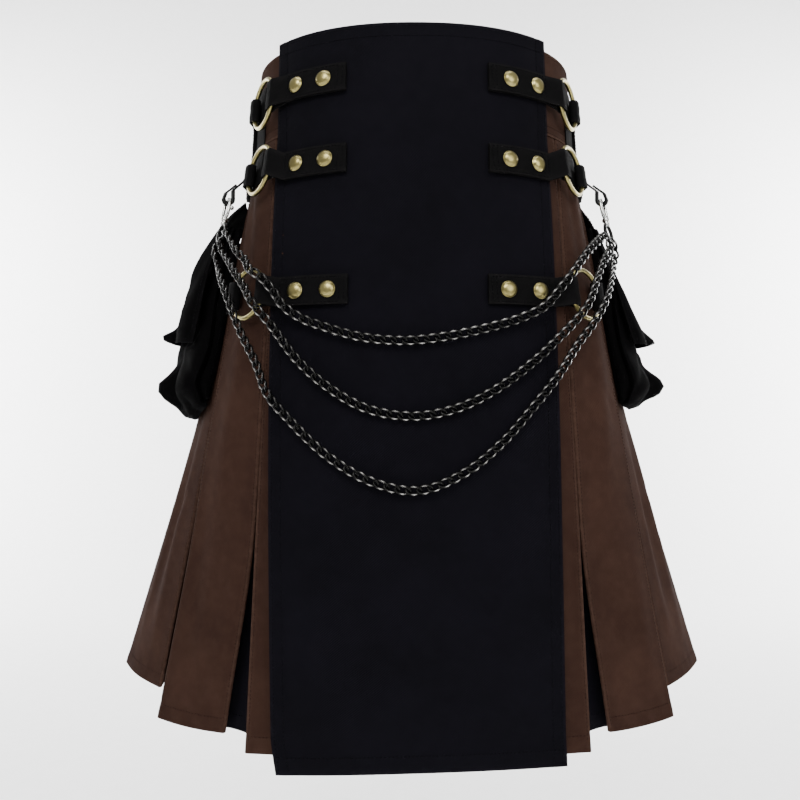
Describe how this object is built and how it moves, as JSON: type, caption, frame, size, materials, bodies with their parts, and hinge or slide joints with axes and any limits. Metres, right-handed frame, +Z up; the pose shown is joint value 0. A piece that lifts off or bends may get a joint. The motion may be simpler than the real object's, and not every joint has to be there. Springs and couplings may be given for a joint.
{
  "type": "hybrid kilt",
  "caption": "Pleated two-tone hybrid kilt in its worn, hollow form, with a front apron held by straps and rings, hip pockets and draped curb chains.",
  "frame": {"origin": "centre of the waist opening at the top of the front apron", "axes": "+Z up out of the waist, the front faces -Y, +X is the viewer's right when the front is looked at"},
  "size_m": [0.6058, 0.3756, 0.6002],
  "materials": {
    "brown_cloth": "brown cotton drill, matt",
    "black_cloth": "black cotton drill, matt",
    "black_strap": "black cotton strap, edge stitched",
    "brass": "antique brass, satin",
    "steel": "nickel plate, bright",
    "gunmetal": "blackened steel, satin"
  },
  "bodies": {
    "root": {"apron": "black_cloth", "apron_strap_left_1": "black_strap", "apron_strap_left_2": "black_strap", "apron_strap_left_3": "black_strap", "apron_strap_right_1": "black_strap", "apron_strap_right_2": "black_strap", "apron_strap_right_3": "black_strap", "chain_1": "gunmetal", "chain_2": "gunmetal", "chain_3": "gunmetal", "front_panel": "brown_cloth", "hip_strap_left": "black_strap", "hip_strap_right": "black_strap", "hip_tab_left": "black_strap", "hip_tab_right": "black_strap", "inset_left_1": "black_cloth", "inset_left_2": "black_cloth", "inset_left_3": "black_cloth", "inset_left_4": "black_cloth", "inset_left_5": "black_cloth", "inset_right_1": "black_cloth", "inset_right_2": "black_cloth", "inset_right_3": "black_cloth", "inset_right_4": "black_cloth", "inset_right_5": "black_cloth", "panel_back": "brown_cloth", "panel_left_1": "brown_cloth", "panel_left_2": "brown_cloth", "panel_left_3": "brown_cloth", "panel_left_4": "brown_cloth", "panel_right_1": "brown_cloth", "panel_right_2": "brown_cloth", "panel_right_3": "brown_cloth", "panel_right_4": "brown_cloth", "pocket_flap_left": "black_cloth", "pocket_flap_right": "black_cloth", "pocket_left": "black_cloth", "pocket_right": "black_cloth", "ring_left_1": "brass", "ring_left_2": "brass", "ring_left_3": "brass", "ring_right_1": "brass", "ring_right_2": "brass", "ring_right_3": "brass", "snap_hook_left": "steel", "snap_hook_right": "steel", "stud_left_1_inner": "brass", "stud_left_1_outer": "brass", "stud_left_2_inner": "brass", "stud_left_2_outer": "brass", "stud_left_3_inner": "brass", "stud_left_3_outer": "brass", "stud_right_1_inner": "brass", "stud_right_1_outer": "brass", "stud_right_2_inner": "brass", "stud_right_2_outer": "brass", "stud_right_3_inner": "brass", "stud_right_3_outer": "brass", "yoke": "brown_cloth"}
  },
  "joints": []
}
